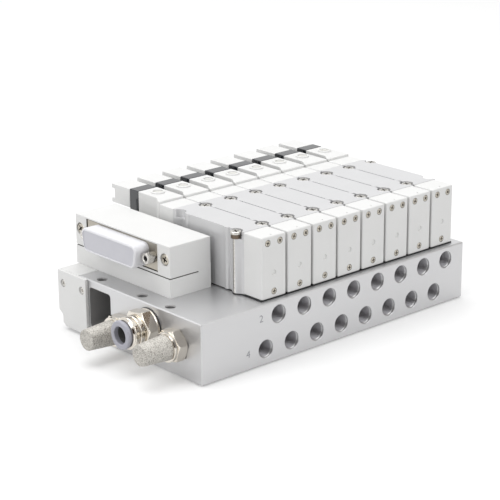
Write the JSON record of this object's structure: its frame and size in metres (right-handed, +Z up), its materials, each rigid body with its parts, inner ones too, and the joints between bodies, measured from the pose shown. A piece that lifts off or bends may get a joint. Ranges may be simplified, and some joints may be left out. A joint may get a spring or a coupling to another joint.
{
  "type": "pneumatic valve island",
  "caption": "Bar-mounted pneumatic valve island: narrow spool valves side by side on an aluminium manifold with tapped ports, a D connector housing, a push-in inlet and porous silencers.",
  "frame": {"origin": "centre of the manifold bar's underside", "axes": "+X along the bar from the fittings end to the far end, the outlet ports face -Y, +Z up"},
  "size_m": [0.195, 0.1173, 0.0611],
  "materials": {
    "bar_aluminium": "clear anodised, satin",
    "duct_plastic": "extruded ABS, satin",
    "cover_screw_steel": "zinc plated",
    "housing_plastic": "moulded, fine grain",
    "housing_screw_steel": "nickel plated",
    "connector_shell_steel": "tin plated, bright",
    "connector_insulator": "moulded",
    "contact_brass": "gold flashed",
    "jack_screw_steel": "zinc plated",
    "dust_cap_plastic": "soft translucent polyethylene",
    "seal_rubber": "nitrile",
    "fitting_nickel": "nickel plated brass, bright",
    "sleeve_plastic": "acetal, satin",
    "silencer_brass": "nickel plated brass",
    "sintered_bronze": "sintered, grainy",
    "plug_steel": "zinc plated",
    "gasket_rubber": "nitrile sheet",
    "cap_plastic": "moulded PBT, satin",
    "cap_screw_steel": "nickel plated",
    "mounting_screw_steel": "yellow zinc plated",
    "adapter_plastic": "moulded PBT, satin",
    "pilot_plastic": "moulded PBT, satin",
    "indicator_plastic": "moulded, smoked",
    "socket_plastic": "moulded nylon",
    "pin_tin": "tinned",
    "valve_body_aluminium": "die cast, painted satin silver",
    "spool_aluminium": "ground",
    "button_plastic": "moulded acetal"
  },
  "bodies": {
    "island": {"manifold_base": "bar_aluminium", "wiring_duct": "duct_plastic", "duct_end_cover_left": "duct_plastic", "duct_end_cover_right": "duct_plastic", "duct_cover_screws": "cover_screw_steel", "connector_housing_lower": "housing_plastic", "connector_housing_upper": "housing_plastic", "connector_housing_screws": "housing_screw_steel", "dsub_shell": "connector_shell_steel", "dsub_insulator": "connector_insulator", "dsub_contacts": "contact_brass", "dsub_jack_screws": "jack_screw_steel", "inlet_gasket": "seal_rubber", "inlet_fitting_body": "fitting_nickel", "inlet_tube_seal": "seal_rubber", "silencer_bodies": "silencer_brass", "silencer_elements": "sintered_bronze", "end_port_plugs": "plug_steel", "valve_gaskets": "gasket_rubber", "valve_end_caps": "cap_plastic", "end_cap_screws": "cap_screw_steel", "valve_mounting_screws": "mounting_screw_steel", "pilot_adapters": "adapter_plastic", "pilot_housings": "pilot_plastic", "indicator_blocks": "indicator_plastic", "connector_sockets": "socket_plastic", "connector_pins": "pin_tin", "valve_body_1": "valve_body_aluminium", "valve_body_2": "valve_body_aluminium", "valve_body_3": "valve_body_aluminium", "valve_body_4": "valve_body_aluminium", "valve_body_5": "valve_body_aluminium", "valve_body_6": "valve_body_aluminium", "valve_body_7": "valve_body_aluminium", "valve_body_8": "valve_body_aluminium"},
    "dust_cap": {"dsub_dust_cap": "dust_cap_plastic"},
    "release_sleeve": {"inlet_release_sleeve": "sleeve_plastic"},
    "spool_body_1": {"spool_1": "spool_aluminium"},
    "button_body_1": {"override_button_1": "button_plastic"},
    "spool_body_2": {"spool_2": "spool_aluminium"},
    "button_body_2": {"override_button_2": "button_plastic"},
    "spool_body_3": {"spool_3": "spool_aluminium"},
    "button_body_3": {"override_button_3": "button_plastic"},
    "spool_body_4": {"spool_4": "spool_aluminium"},
    "button_body_4": {"override_button_4": "button_plastic"},
    "spool_body_5": {"spool_5": "spool_aluminium"},
    "button_body_5": {"override_button_5": "button_plastic"},
    "spool_body_6": {"spool_6": "spool_aluminium"},
    "button_body_6": {"override_button_6": "button_plastic"},
    "spool_body_7": {"spool_7": "spool_aluminium"},
    "button_body_7": {"override_button_7": "button_plastic"},
    "spool_body_8": {"spool_8": "spool_aluminium"},
    "button_body_8": {"override_button_8": "button_plastic"}
  },
  "joints": [
    {"name": "dust_cap_pull", "type": "slide", "parent": "island", "child": "dust_cap", "axis": [-1, 0, 0], "range_m": [0, 0.012]},
    {"name": "release_sleeve_push", "type": "slide", "parent": "island", "child": "release_sleeve", "axis": [1, 0, 0], "range_m": [0, 0.0008], "stiffness_N_per_m": 300, "springref_m": -0.001},
    {"name": "spool_shift_1", "type": "slide", "parent": "island", "child": "spool_body_1", "axis": [0, 1, 0], "range_m": [0, 0.0026], "stiffness_N_per_m": 300, "springref_m": -0.001},
    {"name": "button_press_1", "type": "slide", "parent": "island", "child": "button_body_1", "axis": [0, 0, -1], "range_m": [0, 0.0008]},
    {"name": "spool_shift_2", "type": "slide", "parent": "island", "child": "spool_body_2", "axis": [0, 1, 0], "range_m": [0, 0.0026], "stiffness_N_per_m": 300, "springref_m": -0.001},
    {"name": "button_press_2", "type": "slide", "parent": "island", "child": "button_body_2", "axis": [0, 0, -1], "range_m": [0, 0.0008]},
    {"name": "spool_shift_3", "type": "slide", "parent": "island", "child": "spool_body_3", "axis": [0, 1, 0], "range_m": [0, 0.0026], "stiffness_N_per_m": 300, "springref_m": -0.001},
    {"name": "button_press_3", "type": "slide", "parent": "island", "child": "button_body_3", "axis": [0, 0, -1], "range_m": [0, 0.0008]},
    {"name": "spool_shift_4", "type": "slide", "parent": "island", "child": "spool_body_4", "axis": [0, 1, 0], "range_m": [0, 0.0026], "stiffness_N_per_m": 300, "springref_m": -0.001},
    {"name": "button_press_4", "type": "slide", "parent": "island", "child": "button_body_4", "axis": [0, 0, -1], "range_m": [0, 0.0008]},
    {"name": "spool_shift_5", "type": "slide", "parent": "island", "child": "spool_body_5", "axis": [0, 1, 0], "range_m": [0, 0.0026], "stiffness_N_per_m": 300, "springref_m": -0.001},
    {"name": "button_press_5", "type": "slide", "parent": "island", "child": "button_body_5", "axis": [0, 0, -1], "range_m": [0, 0.0008]},
    {"name": "spool_shift_6", "type": "slide", "parent": "island", "child": "spool_body_6", "axis": [0, 1, 0], "range_m": [0, 0.0026], "stiffness_N_per_m": 300, "springref_m": -0.001},
    {"name": "button_press_6", "type": "slide", "parent": "island", "child": "button_body_6", "axis": [0, 0, -1], "range_m": [0, 0.0008]},
    {"name": "spool_shift_7", "type": "slide", "parent": "island", "child": "spool_body_7", "axis": [0, 1, 0], "range_m": [0, 0.0026], "stiffness_N_per_m": 300, "springref_m": -0.001},
    {"name": "button_press_7", "type": "slide", "parent": "island", "child": "button_body_7", "axis": [0, 0, -1], "range_m": [0, 0.0008]},
    {"name": "spool_shift_8", "type": "slide", "parent": "island", "child": "spool_body_8", "axis": [0, 1, 0], "range_m": [0, 0.0026], "stiffness_N_per_m": 300, "springref_m": -0.001},
    {"name": "button_press_8", "type": "slide", "parent": "island", "child": "button_body_8", "axis": [0, 0, -1], "range_m": [0, 0.0008]}
  ],
  "couplings": [
    {"joint": "button_press_1", "follows": "spool_shift_1", "ratio": 0.3},
    {"joint": "button_press_2", "follows": "spool_shift_2", "ratio": 0.3},
    {"joint": "button_press_3", "follows": "spool_shift_3", "ratio": 0.3},
    {"joint": "button_press_4", "follows": "spool_shift_4", "ratio": 0.3},
    {"joint": "button_press_5", "follows": "spool_shift_5", "ratio": 0.3},
    {"joint": "button_press_6", "follows": "spool_shift_6", "ratio": 0.3},
    {"joint": "button_press_7", "follows": "spool_shift_7", "ratio": 0.3},
    {"joint": "button_press_8", "follows": "spool_shift_8", "ratio": 0.3}
  ]
}
